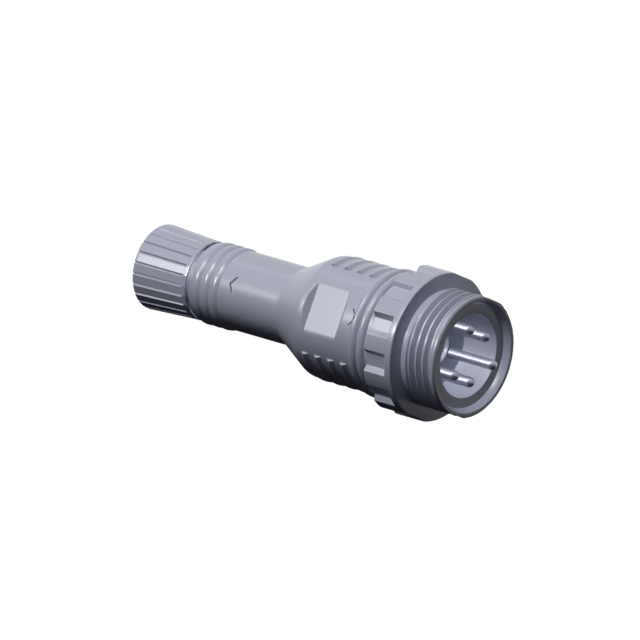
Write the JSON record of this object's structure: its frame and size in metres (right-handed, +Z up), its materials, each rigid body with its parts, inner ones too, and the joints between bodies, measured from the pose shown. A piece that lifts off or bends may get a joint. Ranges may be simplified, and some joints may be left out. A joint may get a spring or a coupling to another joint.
{
  "type": "gender changer adapter",
  "caption": "Round inline cable adapter with a threaded pin end on a slotted coupling ring and a slim neck with a knurled nut over a socket insert.",
  "frame": {"origin": "on the axis, in the plane of the slotted flange's front face, where the threaded nose starts", "axes": "+X along the axis towards the pins, +Z up, normal to the upper flat of the coupling ring, -Y towards the side with the label window and the key"},
  "size_m": [0.0741, 0.027, 0.0264],
  "materials": {
    "body_plastic": "satin moulded plastic, blue-grey",
    "ring_plastic": "satin moulded plastic, blue-grey",
    "carrier_plastic": "satin moulded plastic, darker blue-grey",
    "nut_plastic": "satin moulded plastic, blue-grey",
    "insert_plastic": "satin moulded plastic, darker blue-grey",
    "seal_rubber": "smooth black rubber",
    "sleeve_plastic": "satin moulded plastic, darker blue-grey",
    "pin_metal": "brass with a bright pale plating",
    "socket_metal": "brass with a gold-coloured plating",
    "wire_insulation": "smooth dark insulation"
  },
  "bodies": {
    "adapter_body": {"overmould_body": "body_plastic", "contact_carrier": "carrier_plastic", "contact_pin_1": "pin_metal", "contact_pin_2": "pin_metal", "contact_pin_3": "pin_metal", "contact_pin_4": "pin_metal", "contact_pin_5": "pin_metal", "socket_carrier": "insert_plastic", "nut_sleeve": "sleeve_plastic", "contact_socket_1": "socket_metal", "contact_socket_2": "socket_metal", "contact_socket_3": "socket_metal", "contact_socket_4": "socket_metal", "contact_socket_5": "socket_metal", "face_seal": "seal_rubber", "conductor_1": "wire_insulation", "conductor_2": "wire_insulation", "conductor_3": "wire_insulation", "conductor_4": "wire_insulation", "conductor_5": "wire_insulation"},
    "coupling_ring": {"coupling_ring": "ring_plastic"},
    "coupling_nut": {"coupling_nut": "nut_plastic"}
  },
  "joints": [
    {"name": "coupling_ring_spin", "type": "hinge", "parent": "adapter_body", "child": "coupling_ring", "pos_m": [0, 0, 0], "axis": [1, 0, 0], "continuous": true},
    {"name": "coupling_nut_spin", "type": "hinge", "parent": "adapter_body", "child": "coupling_nut", "pos_m": [-0.0588, 0, 0], "axis": [1, 0, 0], "continuous": true}
  ]
}
